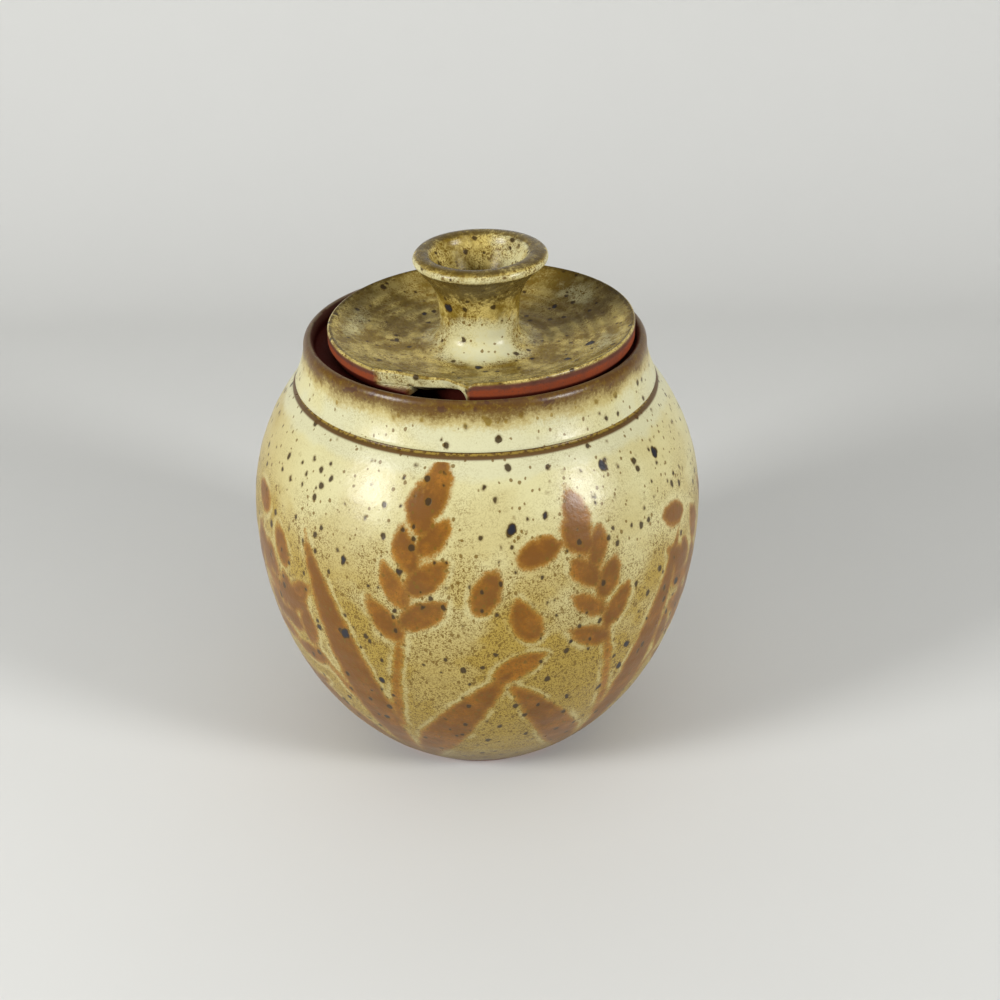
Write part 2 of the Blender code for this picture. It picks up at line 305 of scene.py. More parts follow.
def pot_outline(form):
    """The pot's wall from the middle of the underside, up the outside and down the inside."""
    ring_inner = form.foot_radius - form.foot_ring
    mouth = form.gallery_radius - form.ledge_width
    lip_half = (form.lip_radius - form.gallery_radius) / 2
    edge = form.foot_recess / 3
    recess = form.foot_recess
    recess_radius = ring_inner - recess
    points = straight((0.0, recess), (recess_radius, recess), 8)
    points += arc((recess_radius, 0.0), recess, recess, math.pi / 2, 0.35, 4)
    points += straight((ring_inner + edge, 0.0), (form.foot_radius - edge, 0.0), 5)
    points += arc((form.foot_radius - edge, edge), edge, edge, -math.pi / 2, 0.0, 4)
    for step in range(WALL_STEPS + 1):
        height = form.foot_height + (form.shoulder_height - form.foot_height) * step / WALL_STEPS
        points.append((outer_radius(form, height), height))
    groove_middle = form.shoulder_height + form.groove_width / 2
    groove_edge = (form.collar_radius + form.shoulder_radius) / 2
    for step in range(1, GROOVE_STEPS):
        along = step / GROOVE_STEPS
        depth = form.groove_depth * math.sin(math.pi * along) ** 0.8
        points.append((groove_edge - depth, groove_middle + form.groove_width * (along - 0.5)))
    collar_foot = (form.collar_radius, form.shoulder_height + form.groove_width)
    points += eased((form.lip_radius, form.lip_height), collar_foot, 1.6, 16)[::-1][:-1]
    lip_centre = (form.gallery_radius + lip_half, form.lip_height)
    points += arc(lip_centre, lip_half, form.top_height - form.lip_height, 0.0, math.pi, 18)
    ledge = form.ledge_height
    points += straight((form.gallery_radius, form.lip_height), (form.gallery_radius, ledge), 3)[1:]
    points += straight((form.gallery_radius, ledge), (mouth + edge, ledge), 6)
    points += arc((mouth + edge, ledge - edge), edge, edge, math.pi / 2, math.pi, 4)
    low = ledge - form.ledge_thickness
    inside = form.belly_radius - form.wall
    for step in range(INSIDE_STEPS + 1):
        height = low + (form.belly_height - low) * step / INSIDE_STEPS
        points.append((swell(inside, mouth, form.belly_height, low, height, form.curve_power), height))
    floor = (form.floor_radius, form.belly_height, form.floor_height)
    for step in range(1, INSIDE_STEPS + 1):
        height = form.belly_height + (form.floor_height - form.belly_height) * step / INSIDE_STEPS
        points.append((swell(inside, *floor, height, form.curve_power), height))
    points += straight((form.floor_radius, form.floor_height), (0.0, form.floor_height), 12)[1:]
    points.append((0.0, form.floor_height))
    return points


def lid_outline(form):
    """The lid from the middle of its underside, round the edge, up the knob and into its hollow."""
    seat_outer = form.radius - form.seat_inset
    crest = form.radius - form.edge_round
    points = straight((0.0, -form.underside_depth), (form.underside_radius, -form.underside_depth), 12)
    points += straight((form.underside_radius, -form.underside_depth), (seat_outer - form.seat_width, 0.0), 8)
    points += straight((seat_outer - form.seat_width, 0.0), (seat_outer, 0.0), 6)
    points += straight((seat_outer, 0.0), (form.radius, form.edge_foot), 8)
    points += straight((form.radius, form.edge_foot), (form.radius, form.edge_height - form.edge_round), 8)
    shoulder = (crest, form.edge_height - form.edge_round)
    points += arc(shoulder, form.edge_round, form.edge_round, 0.0, math.pi / 2, 8)
    for step in range(1, DISH_STEPS):
        along = 1.0 - step / DISH_STEPS
        rise = (form.edge_height - form.dish_height) * along**form.dish_power
        points.append((form.root_radius + (crest - form.root_radius) * along, form.dish_height + rise))
    root_half = form.root_radius - form.waist_radius
    root_centre = (form.root_radius, form.waist_height)
    points += arc(root_centre, root_half, form.waist_height - form.dish_height, -math.pi / 2, -math.pi, 12)
    waist = (form.waist_radius, form.waist_height)
    points += eased(waist, (form.flare_radius, form.flare_height), form.flare_power, 26)[1:]
    rim = (form.rim_radius, form.rim_height)
    points += arc(rim, form.rim_half_width, form.rim_half_height, math.radians(-68.0), math.pi, 26)
    mouth = (form.rim_radius - form.rim_half_width, form.rim_height)
    points += eased((form.hollow_radius, form.hollow_height), mouth, form.hollow_power, 24)[::-1][1:]
    points += straight((form.hollow_radius, form.hollow_height), (0.0, form.hollow_height), 4)[1:]
    points.append((0.0, form.hollow_height))
    return points


def throw(name, outline, turns):
    """Spin an outline into a closed body: one vertex is drawn along the outline, then turned round."""
    bpy.ops.object.select_all(action="DESELECT")
    bpy.ops.mesh.primitive_plane_add(size=MM, location=(outline[0][0], 0.0, outline[0][1]))
    obj = bpy.context.object
    obj.name = name
    obj.data.name = name
    bpy.ops.object.transform_apply(location=True, rotation=True, scale=True)
    bpy.ops.object.mode_set(mode="EDIT")
    bpy.ops.mesh.select_all(action="SELECT")
    bpy.ops.mesh.merge(type="CENTER")
    for before, after in zip(outline, outline[1:]):
        step = (after[0] - before[0], 0.0, after[1] - before[1])
        bpy.ops.mesh.extrude_vertices_move(TRANSFORM_OT_translate={"value": step})
    bpy.ops.object.mode_set(mode="OBJECT")
    wheel = obj.modifiers.new("wheel", "SCREW")
    wheel.steps = wheel.render_steps = turns
    wheel.use_merge_vertices = True
    wheel.merge_threshold = HAIR
    bpy.ops.object.modifier_apply(modifier=wheel.name)
    bpy.ops.object.mode_set(mode="EDIT")
    bpy.ops.mesh.select_all(action="SELECT")
    bpy.ops.mesh.remove_doubles(threshold=HAIR)
    bpy.ops.mesh.normals_make_consistent(inside=False)
    bpy.ops.object.mode_set(mode="OBJECT")
    bpy.ops.object.shade_smooth()
    return obj


def read_points(obj):
    """A piece's vertices, with the radius, azimuth from the front and height of each."""
    points = np.empty(len(obj.data.vertices) * 3, dtype=np.float32)
    obj.data.vertices.foreach_get("co", points)
    points = points.reshape(-1, 3).astype(float)
    return points, np.hypot(points[:, 0], points[:, 1]), np.arctan2(points[:, 0], -points[:, 1]), points[:, 2]


def write_points(obj, points):
    obj.data.vertices.foreach_set("co", points.astype(np.float32).ravel())
    obj.data.update()


def paint(obj, name, values):
    """Store one number for each vertex, for the materials to read."""
    layer = obj.data.attributes.new(name, "FLOAT", "POINT")
    layer.data.foreach_set("value", np.asarray(values, dtype=np.float32))


def smooth_step(values, low, high):
    """0 at low, 1 at high, eased between; low may be above high."""
    along = share_of(values, low, high)
    return along * along * (3.0 - 2.0 * along)


def between(values, low, full, still_full, high):
    """1 from full to still_full, eased down to 0 at low and at high."""
    return smooth_step(values, low, full) * smooth_step(values, high, still_full)


def bell(values, middle, spread):
    return np.exp(-(((values - middle) / spread) ** 2))


def share_of(values, low, high):
    """0 at low, 1 at high, even between."""
    return np.clip((values - low) / (high - low), 0.0, 1.0)


def push(points, radius, moved):
    """Move vertices in or out to another radius."""
    points[:, :2] *= (moved / np.maximum(radius, HAIR))[:, None]


def dish_rise(form, radius):
    """Height of the dish at a radius."""
    crest = form.radius - form.edge_round
    along = share_of(radius, form.root_radius, crest)
    return form.dish_height + (form.edge_height - form.dish_height) * along**form.dish_power


def notch_share(form, azimuth):
    """How far the notch has opened: a long ramp from its left end and a short corner at its right."""
    ramp = np.clip((azimuth - form.notch_left) / form.notch_ramp, 0.0, 1.0) ** form.notch_ramp_power
    corner = np.clip((form.notch_right - azimuth) / form.notch_corner, 0.0, 1.0)
    return ramp * corner * corner * (3.0 - 2.0 * corner)


def finger_rings(azimuth, height, relief):
    """Depth of the spiral left by the potter's fingers, always inwards."""
    turn = azimuth / (2 * math.pi)
    coarse = np.sin(2 * math.pi * (height / COARSE_RING + turn))
    fine = np.sin(2 * math.pi * (height / FINE_RING + turn) + 1.3 * np.sin(height / 0.011))
    slow = np.sin(2 * azimuth + height / 0.03) * np.sin(height / 0.021)
    return -relief * (1.0 + 0.45 * coarse + 0.3 * fine + 0.25 * slow) / 2


# Brushed design: strokes are lists of (azimuth, height, half width), laid on the pot's outside

# Blades of a tuft: degrees aside, heading, share of the longest and of the broadest, bend, weight
BLADES = (
    (-1, -0.10, 0.92, 1.0, -0.34, 0.75),
    (3, 0.40, 0.60, 0.95, 0.30, 0.55),
    (-5, -0.62, 0.52, 0.84, -0.50, 0.65),
)
# Seed heads of a tuft: degrees aside, rise, heading, share of the longest blade, bend, dabs, size
SEED_HEADS = ((1, 0.018, 0.12, 0.78, 0.12, 7, 1.0), (-2, 0.012, -0.56, 0.66, -0.26, 6, 0.94))
# Loose petals: degrees aside, rise, heading
PETALS = ((0, 0, 0.9), (9, 0.011, -0.5), (-4, 0.019, 0.25), (6, 0.030, 1.1))
PETAL_TURN = 29
PETAL_RISE = 0.037
# Tufts round the pot: degrees from the front, height of the foot, size, side to which they lean
TUFTS = (
    (-25, 0.007, 1.0, 1),
    (38, 0.006, 0.93, -1),
    (99, 0.008, 0.98, 1),
    (157, 0.007, 0.88, 1),
    (-147, 0.007, 0.96, -1),
    (-88, 0.008, 0.9, -1),
)
STEM_SAMPLES = 40
BLADE_SAMPLES = 60
DAB_SAMPLES = 12


def on_pot(form, azimuth, height):
    radius = outer_radius(form, height)
    return (radius * math.sin(azimuth), -radius * math.cos(azimuth), height)


def stroke_from(form, start, heading, span, width, bend, profile, samples):
    """A stroke that leaves start (azimuth, height) at a heading from straight up, bending as it goes."""
    azimuth, height = start
    stroke = []
    for index in range(samples + 1):
        along = index / samples
        stroke.append((azimuth, height, width / 2 * profile(along)))
        turned = heading + bend * along
        azimuth += span / samples * math.sin(turned) / outer_radius(form, height)
        height += span / samples * math.cos(turned)
    return stroke


def blade_profile(along):
    """Half width of a blade: a narrow foot, a full middle and a long point."""
    swelling = min(1.0, along / 0.38)
    return (0.42 + 0.58 * swelling * swelling * (3 - 2 * swelling)) * max(0.03, 1.0 - along**3.2) ** 0.8


def stem_profile(along):
    return 1.0 - 0.4 * along


def dab_profile(along):
    """Half width of one dab of a loaded brush, blunt at its far end."""
    return max(0.12, math.sin(math.pi * along**0.8)) ** 0.6


def dab(form, start, heading, reach, broad, bend):
    return stroke_from(form, start, heading, reach, broad, bend, dab_profile, DAB_SAMPLES)


def seed_head(form, brush, start, heading, span, bend, dabs, size):
    """A thin stem with dabs of the brush on both sides and one at its tip."""
    stem = stroke_from(form, start, heading, span, brush.stem_width, bend, stem_profile, STEM_SAMPLES)
    strokes = [(stem, 0.5)]
    for index in range(dabs):
        place = stem[int(STEM_SAMPLES * (0.52 + 0.44 * index / (dabs - 1)))]
        side = 1 if index % 2 else -1
        lean = heading + bend * 0.8 + side * (0.95 - 0.07 * index)
        reach = brush.seed_length * size * (1.0 - 0.04 * index)
        broad = brush.seed_width * size * (0.92 + 0.1 * math.sin(2.4 * index))
        weight = 0.35 + 0.4 * abs(math.sin(1.9 * index + span * 100))
        strokes.append((dab(form, place[:2], lean, reach, broad, -0.2 * side), weight))
    reach, broad = brush.seed_length * size, brush.seed_width * size
    return strokes + [(dab(form, stem[-1][:2], heading + bend, reach, broad, 0.0), 0.6)]


def tuft(form, brush, azimuth, low, size, side):
    """One tuft of reeds: blades and seed heads that leave it on both sides."""
    span = brush.blade_length * size
    width = brush.blade_width * size
    strokes = []
    for aside, heading, long, broad, bend, weight in BLADES:
        start = (azimuth + aside * side * DEGREE, low)
        sizes = (heading * side, span * long, width * broad, bend * side)
        strokes.append((stroke_from(form, start, *sizes, blade_profile, BLADE_SAMPLES), weight))
    for aside, rise, heading, long, bend, dabs, share in SEED_HEADS:
        start = (azimuth + aside * side * DEGREE, low + rise * size)
        strokes += seed_head(form, brush, start, heading * side, span * long, bend * side, dabs, size * share)
    return strokes


def petals(form, brush, azimuth, height, size, side):
    """Loose dabs that drift between two tufts."""
    strokes = []
    for index, (turn, rise, lean) in enumerate(PETALS):
        start = (azimuth + turn * side * DEGREE, height + rise * size)
        reach = brush.seed_length * size * (1.0 - 0.07 * index)
        petal = dab(form, start, lean * side, reach, brush.seed_width * size, 0.3 * side)
        strokes.append((petal, 0.3 + 0.2 * index))
    return strokes


def brushed_strokes(form, brush):
    """All strokes of the design, tuft by tuft round the pot, with petals in between."""
    strokes = []
    for turn, low, size, side in TUFTS:
        strokes += tuft(form, brush, math.radians(turn), low, size, side)
        strokes += petals(form, brush, math.radians(turn + PETAL_TURN), low + PETAL_RISE, size, side)
    return strokes


def measure_wash(form, brush, points, strokes):
    """Signed distance to the brushed shapes, below zero inside them, and how heavy the wash lies."""
    reach = brush.reach
    distance = np.full(len(points), reach)
    load = np.zeros(len(points))
    for stroke, weight in strokes:
        path = np.array([on_pot(form, azimuth, height) for azimuth, height, _ in stroke])
        half = np.array([width for _, _, width in stroke])
        middle = path.mean(axis=0)
        span = np.linalg.norm(path - middle, axis=1).max() + reach + half.max()
        near = np.nonzero(np.linalg.norm(points - middle, axis=1) < span)[0]
        gaps = np.linalg.norm(points[near, None, :] - path[None], axis=2) - half[None]
        closest = gaps.argmin(axis=1)
        gap = gaps[np.arange(len(near)), closest]
        distance[near] = np.minimum(distance[near], gap)
        along = closest / (len(stroke) - 1)
        inside = smooth_step(-gap, -0.2 * MM, 0.6 * MM)
        load[near] += inside * weight * (0.75 + 0.5 * along)
    return distance, np.clip(load, 0.0, 1.6)


# Noise in the materials: millimetres across a blob, detail and roughness; for a mask also the noise at
# which it starts and is full
NOISES = {
    "ground cloud": (19, 3, 0.55),
    "level": (7, 3, 0.6),
    "ragged level": (0.7, 3, 0.75),
    "stroke edge": (3, 3, 0.6),
    "fine stroke edge": (0.45, 2, 0.7),
    "pale break": (8, 2, 0.5, 0.40, 0.58),
    "grain cloud": (10, 2, 0.5, 0.34, 0.64),
    "turned lines": (1.6, 3, 0.6, 0.40, 0.60),
    "fine grain": (0.36, 2, 0.7, 0.48, 0.60),
    "coarse grain": (0.9, 2, 0.6, 0.56, 0.68),
    "wash": (5.5, 4, 0.65),
    "wash grain": (0.6, 2, 0.7, 0.52, 0.66),
    "lip stipple": (2.2, 3, 0.6, 0.52, 0.62),
    "lip olive": (0.9, 3, 0.6, 0.54, 0.68),
    "lip plum": (2.4, 2, 0.5, 0.60, 0.66),
    "groove glint": (0.8, 2, 0.6, 0.38, 0.56),
    "clay cloud": (5, 3, 0.6, 0.40, 0.66),
    "clay grain": (0.5, 2, 0.7, 0.56, 0.70),
    "gloss": (4, 3, 0.6),
    "broad relief": (5, 2, 0.5),
    "orange peel": (0.9, 3, 0.6),
    "grit": (0.4, 2, 0.8),
    "lid cloud": (7, 5, 0.7, 0.40, 0.60),
    "lid rings": (4, 3, 0.6),
    "lid pool": (3.6, 4, 0.7),
    "lid grain": (5, 3, 0.6, 0.26, 0.58),
    "lid breaking": (1.9, 4, 0.75),
    "lid clay edge": (1.2, 2, 0.6),
    "floor": (50, 4, 0.6),
}


class Net:
    """A short way to add and link shader nodes."""

    def __init__(self, name):
        self.material = bpy.data.materials.new(name)
        self.material.use_nodes = True
        self.nodes = self.material.node_tree.nodes
        self.links = self.material.node_tree.links
        self.place = self.add("TexCoord", {}).outputs["Object"]

    def put(self, socket, value):
        if isinstance(value, bpy.types.NodeSocket):
            self.links.new(value, socket)
        elif hasattr(value, "__len__"):
            opaque = (1.0,) if len(socket.default_value) == 4 and len(value) == 3 else ()
            socket.default_value = (*value, *opaque)
        else:
            socket.default_value = value

    def fill(self, node, inputs):
        for name, value in inputs.items():
            self.put(node.inputs[name], value)

    def add(self, kind, inputs, **settings):
        """Add a node, set it up and fill its inputs, which are named or numbered."""
        node = self.nodes.new("ShaderNode" + kind)
        for name, value in settings.items():
            setattr(node, name, value)
        self.fill(node, inputs)
        return node

    def surface(self, inputs):
        self.fill(self.nodes["Principled BSDF"], inputs)
        return self.material

    def math(self, operation, first, second=0.0, third=0.0):
        return self.add("Math", {0: first, 1: second, 2: third}, operation=operation).outputs[0]

    def times(self, first, second):
        return self.math("MULTIPLY", first, second)

    def plus(self, first, second):
        return self.math("ADD", first, second)

    def blend(self, value, scale, offset):
        """A value times a scale, plus an offset."""
        return self.math("MULTIPLY_ADD", value, scale, offset)

    def vector(self, operation, first, second):
        return self.add("VectorMath", {0: first, 1: second}, operation=operation).outputs[0]

    def step(self, value, low, high):
        """0 at low, 1 at high, eased between; low may be above high."""
        flip = float(low > high)
        inputs = {"Value": value, "From Min": min(low, high), "From Max": max(low, high)}
        inputs.update({"To Min": flip, "To Max": 1.0 - flip})
        return self.add("MapRange", inputs, interpolation_type="SMOOTHSTEP").outputs["Result"]

    def near(self, value, mark, low, high):
        """The same with the limits in millimetres from a mark."""
        return self.step(value, mark + low * MM, mark + high * MM)

    def mix(self, factor, first, second):
        return self.add("Mix", {"Factor": factor, 6: first, 7: second}, data_type="RGBA").outputs[2]

    def lay(self, tint, top, where, amount):
        """Lay a colour over the tint where a mask says, up to an amount."""
        return self.mix(self.times(where, amount), tint, top)

    def noise(self, name, place=None):
        """A noise of the table, around 0.5, or the mask made of it."""
        cell, detail, rough, *limits = NOISES[name]
        scale = 1.0 / (cell * MM)
        inputs = {"Vector": place or self.place, "Scale": scale, "Detail": detail, "Roughness": rough}
        noise = self.add("TexNoise", inputs).outputs["Fac"]
        return self.step(noise, *limits) if limits else noise

    def wander(self, name, swing):
        """Noise that swings about zero, over a swing in millimetres."""
        return self.blend(self.noise(name), swing * MM, -swing * MM / 2)

    def attribute(self, name):
        return self.add("Attribute", {}, attribute_name=name).outputs["Fac"]

    def along_axes(self):
        """Object coordinates one by one."""
        return self.add("SeparateXYZ", {0: self.place}).outputs

    def warped(self, cell, amount, stretch):
        """Object coordinates pushed about by noise, both in millimetres, and drawn out along Z."""
        noise = self.add("TexNoise", {"Vector": self.place, "Scale": 1.0 / (cell * MM)})
        shift = self.vector("SUBTRACT", noise.outputs["Color"], (0.5, 0.5, 0.5))
        shift = self.vector("MULTIPLY", shift, (amount * MM,) * 3)
        moved = self.vector("ADD", self.place, shift)
        return self.vector("MULTIPLY", moved, (1.0, 1.0, 1.0 / stretch))

    def spots(self, place, cell, chosen, smallest, largest, soft):
        """Round iron spots: one in some of the cells, between two radii given in cells."""
        cells = self.add("TexVoronoi", {"Vector": place, "Scale": 1.0 / (cell * MM)})
        parts = self.add("SeparateColor", {0: cells.outputs["Color"]})
        kept = self.math("LESS_THAN", parts.outputs[0], chosen)
        radius = self.blend(parts.outputs[1], largest - smallest, smallest)
        depth = self.math("SUBTRACT", radius, cells.outputs["Distance"])
        return self.times(self.step(depth, -soft, soft), kept), depth, kept


# Fine specks: waves that push their cells about, in millimetres across and in reach; size of a cell
FINE_WOBBLE = (1.2, 0.5)
FINE_CELL = 1.4
# Smallest and largest radius of a fine speck in cells, softness of its edge
FINE_SPECKS = (0.13, 0.30, 0.05)
# Larger specks: such waves; size of a cell, share of the cells with a speck, radii and softness as
# above; reach and strength of the halo, strength of the speck
SPECKS = (
    ((1.6, 0.9), (2.9, 0.80, 0.08, 0.25, 0.04), (0.13, 0.45, 0.9)),
    ((2.6, 2.2), (6.2, 0.44, 0.07, 0.20, 0.02), (0.06, 0.5, 0.96)),
)
# Depths, in cells, between which the heart of the largest specks turns blue-black
HEART = (0.025, 0.07)


def iron_specks(net, colours, tint, density, drawn_out):
    """Grain and three sizes of iron speck over a glaze colour."""
    for name, amount in (("fine grain", 0.95), ("coarse grain", 0.5)):
        tint = net.lay(tint, colours.stipple, net.times(net.noise(name), density), amount)
    chosen = net.blend(density, 0.60, 0.34)
    fine = net.spots(net.warped(*FINE_WOBBLE, drawn_out), FINE_CELL, chosen, *FINE_SPECKS)[0]
    tint = net.lay(tint, colours.stipple, fine, 0.82)
    found = []
    for wobble, sizes, (reach, halo_amount, amount) in SPECKS:
        spot, depth, kept = net.spots(net.warped(*wobble, drawn_out), *sizes)
        halo = net.times(net.step(depth, -reach, 0.0), kept)
        tint = net.lay(tint, colours.stipple, halo, halo_amount)
        tint = net.lay(tint, colours.speck, spot, amount)
        found.append(spot)
    tint = net.mix(net.times(net.step(depth, *HEART), kept), tint, colours.speck_heart)
    return tint, net.math("MAXIMUM", *found)


def bare_clays(net, colours):
    """Two colours of fired clay without glaze: red, and the plum beside the glaze."""
    tones = []
    for light, dark in ((colours.clay, colours.clay_plum), (colours.clay_plum, colours.plum)):
        tint = net.lay(light, dark, net.noise("clay cloud"), 0.5)
        tones.append(net.lay(tint, dark, net.noise("clay grain"), 0.55))
    return tones


# Height of the glaze's relief, spread of its roughness, and how much less clay shines
RELIEF = 0.09 * MM
GLOSS_SPREAD = 0.12
CLAY_SHINE_DROP = -0.2


def glaze_finish(net, tint, bare, specks, rough_glaze, rough_clay, shine):
    """Gloss and relief: glaze and clay have their own."""
    uneven = net.blend(net.noise("gloss"), GLOSS_SPREAD, rough_glaze - GLOSS_SPREAD / 2)
    relief = net.blend(net.noise("orange peel"), 0.55, net.noise("broad relief"))
    relief = net.blend(specks, -0.22, relief)
    relief = net.plus(relief, net.times(net.noise("grit"), net.times(bare, 0.9)))
    bump = net.add("Bump", {"Height": relief, "Distance": RELIEF})
    return net.surface({
        "Base Color": tint,
        "Roughness": net.blend(bare, rough_clay - rough_glaze, uneven),
        "Specular IOR Level": net.blend(bare, CLAY_SHINE_DROP, shine),
        "Normal": bump.outputs["Normal"],
    })


def ground(net, colours, form, level, low_down):
    """Cream glaze, straw low down and on one side, whiter on the collar and under the groove."""
    x, _, z = net.along_axes()
    shoulder = form.shoulder_height
    cloud = net.noise("ground cloud")
    patchy = net.times(net.step(cloud, 0.40, 0.60), net.blend(low_down, 0.5, 0.25))
    strawness = net.blend(low_down, 0.82, patchy)
    one_side = net.step(x, -0.66 * form.belly_radius, -0.94 * form.belly_radius)
    strawness = net.math("MINIMUM", net.blend(one_side, 0.6, strawness), 1.0)
    tint = net.mix(strawness, colours.cream, colours.straw)
    collar_pale = net.mix(net.step(cloud, 0.44, 0.6), colours.white, colours.cream)
    tint = net.lay(tint, collar_pale, net.near(level, shoulder, 0, 1), 0.9)
    band = net.times(net.near(level, shoulder, -4.6, -2.2), net.near(z, shoulder, 0.2, 0))
    return net.lay(tint, colours.white, band, 0.85)


def grain_density(net, form, level, low_down, edge, pale_side, mask):
    """How thick the iron grain lies: in clouds and turned lines, more beside strokes and low down."""
    density = net.blend(net.noise("grain cloud"), 0.55, net.blend(net.near(edge, 0.0, 6.8, 2.2), 0.35, 0.20))
    flattened = net.vector("MULTIPLY", net.place, (0.09, 0.09, 1.0))
    density = net.times(density, net.blend(net.noise("turned lines", flattened), 0.55, 0.7))
    below = net.step(level, form.shoulder_height - 4 * MM, form.belly_height)
    density = net.times(density, net.blend(below, 0.7, 0.3))
    density = net.math("MINIMUM", net.blend(low_down, 0.42, density), 1.0)
    density = net.times(density, net.blend(pale_side, -0.55, 1.0))
    return net.times(density, net.blend(mask, -0.45, 1.0))


def brushed_iron(net, colours, edge):
    """Colour of the brushed wash: darker where it lies heavy, ochre at its edge."""
    heavy = net.blend(net.noise("wash"), 1.3, net.times(net.attribute("load"), 0.5))
    iron = net.mix(net.step(heavy, 0.50, 1.12), colours.wash, colours.wash_deep)
    iron = net.lay(iron, colours.wash_deep, net.noise("wash grain"), 0.6)
    return net.lay(iron, colours.wash_edge, net.near(edge, 0.0, -1.6, -0.2), 0.6)


# Bands under the lip: colour, millimetres from the lip at which each starts and is full, strength
LIP_BANDS = (("straw", -4.8, -2.4, 0.6), ("stipple", -3.2, -0.4, 0.8), ("brown", -1.6, 0.8, 0.85))
# Mottling of the brown band: colour, strength; the olive flecks are painted glints, painted highlight, the
# other two are the glaze's own mottling
LIP_MOTTLES_AND_GLINTS = (("stipple", 0.75), ("olive", 0.55), ("plum", 0.7))


def lip_and_groove(net, colours, form, tint, edge_level):
    """Glaze that breaks brown on the lip and in the groove, with glints painted on the lip and along the
    groove: painted highlight.
    """
    outside = net.math("SUBTRACT", 1.0, net.attribute("inside"))
    for name, low, high, amount in LIP_BANDS:
        band = net.times(net.near(edge_level, form.lip_height, low, high), outside)
        tint = net.lay(tint, getattr(colours, name), band, amount)
    # Olive flecks on the lip's brown band are painted glints: painted highlight
    for name, amount in LIP_MOTTLES_AND_GLINTS:
        tint = net.lay(tint, getattr(colours, name), net.times(net.noise("lip " + name), band), amount)
    top = net.times(net.near(edge_level, form.top_height, -1.2, 0), outside)
    tint = net.lay(tint, colours.plum, top, 0.35)
    groove = net.attribute("groove")
    tint = net.lay(tint, colours.brown, net.step(groove, 0.26, 0.62), 0.95)
    # Straw dots along the groove's middle are a painted glint: painted highlight
    core = net.times(net.step(groove, 0.84, 0.97), net.noise("groove glint"))
    return net.lay(tint, colours.straw, core, 0.75)


def pot_glaze(colours, form):
    """Ash glaze over the brushed wash, brown on the lip, bare at foot and gallery."""
    net = Net("speckled_ash_glaze")
    z = net.along_axes()[2]
    level = net.plus(z, net.wander("level", 5))
    edge_level = net.plus(level, net.wander("ragged level", 4.6))
    low_down = net.step(level, 1.40 * form.belly_height, 0.66 * form.belly_height)
    tint = ground(net, colours, form, level, low_down)

    ragged = net.plus(net.wander("stroke edge", 2.2), net.wander("fine stroke edge", 1.3))
    edge = net.plus(net.attribute("wash"), ragged)
    pale_side = net.times(net.near(edge, 0.0, 1.7, 0.6), net.near(edge, 0.0, 0, 0.4))
    pale_side = net.times(pale_side, net.noise("pale break"))
    tint = net.lay(tint, colours.cream, pale_side, 0.4)
    mask = net.near(edge, 0.0, 0.4, -0.7)
    density = grain_density(net, form, level, low_down, edge, pale_side, mask)
    tint = net.lay(tint, brushed_iron(net, colours, edge), mask, 0.95)
    tint, specks = iron_specks(net, colours, tint, density, 1.3)

    tint = lip_and_groove(net, colours, form, tint, edge_level)
    low_shade = net.step(edge_level, 0.30 * form.belly_height, form.foot_height)
    tint = net.lay(tint, colours.stipple, low_shade, 0.9)
    tint = net.lay(tint, colours.plum, net.near(edge_level, form.foot_height, 2.6, 0.4), 0.85)

    bare = net.attribute("bare")
    red, plum = bare_clays(net, colours)
    # The gallery's bare clay is darkened as painted shade
    clay = net.mix(net.near(z, form.foot_height, 0, 1), red, colours.shaded_clay)
    clay = net.mix(net.near(z, form.lip_height, -0.2, 0.9), clay, plum)
    shine = net.blend(low_shade, -0.24, 0.27)
    return glaze_finish(net, net.mix(bare, tint, clay), bare, specks, 0.30, 0.72, shine)


def lid_glaze(colours):
    """The lid's glaze: olive in the dish, pale where it pools, brown on rims, bare at the edge; its colour
    also holds painted shade and painted highlights.
    """
    net = Net("speckled_olive_glaze")
    tint = net.mix(net.noise("lid cloud"), colours.olive_pale, colours.olive)
    rings = net.blend(net.noise("lid rings"), 0.9, net.attribute("rings"))
    # Umber over the dish's rings, and as painted shade on the dish's far side
    tint = net.lay(tint, colours.umber, net.step(rings, 0.66, 1.30), 0.55)
    # Pale where the glaze pools, and as painted highlight and painted reflection on the knob and dish
    pale = net.blend(net.noise("lid pool"), 1.1, net.math("SUBTRACT", net.attribute("pool"), 0.92))
    tint = net.mix(net.step(pale, -0.12, 0.42), tint, colours.cream)
    tint = net.mix(net.step(pale, 0.40, 0.74), tint, colours.white)
    density = net.times(net.noise("lid grain"), net.step(pale, 0.64, 0.12))
    tint, specks = iron_specks(net, colours, tint, density, 1.0)
    # Umber where the glaze runs thin, and as painted shade under the knob's rim and down its neck
    breaking_and_shade = net.blend(net.noise("lid breaking"), 1.3, net.math("SUBTRACT", net.attribute("thin"), 0.92))
    tint = net.lay(tint, colours.umber, net.step(breaking_and_shade, 0.12, 0.52), 0.88)

    rise = net.attribute("rise")
    upper = net.step(net.blend(net.noise("lid clay edge"), 0.12, rise), 0.70, 0.84)
    red, plum = bare_clays(net, colours)
    # Bare clay low on the lid's edge is darkened as painted shade
    clay = net.mix(net.step(rise, 0.48, 0.36), net.mix(upper, red, plum), colours.shaded_clay)
    bare = net.attribute("bare")
    shine = net.blend(net.attribute("dish"), -0.24, 0.32)
    return glaze_finish(net, net.mix(bare, tint, clay), bare, specks, 0.27, 0.66, shine)


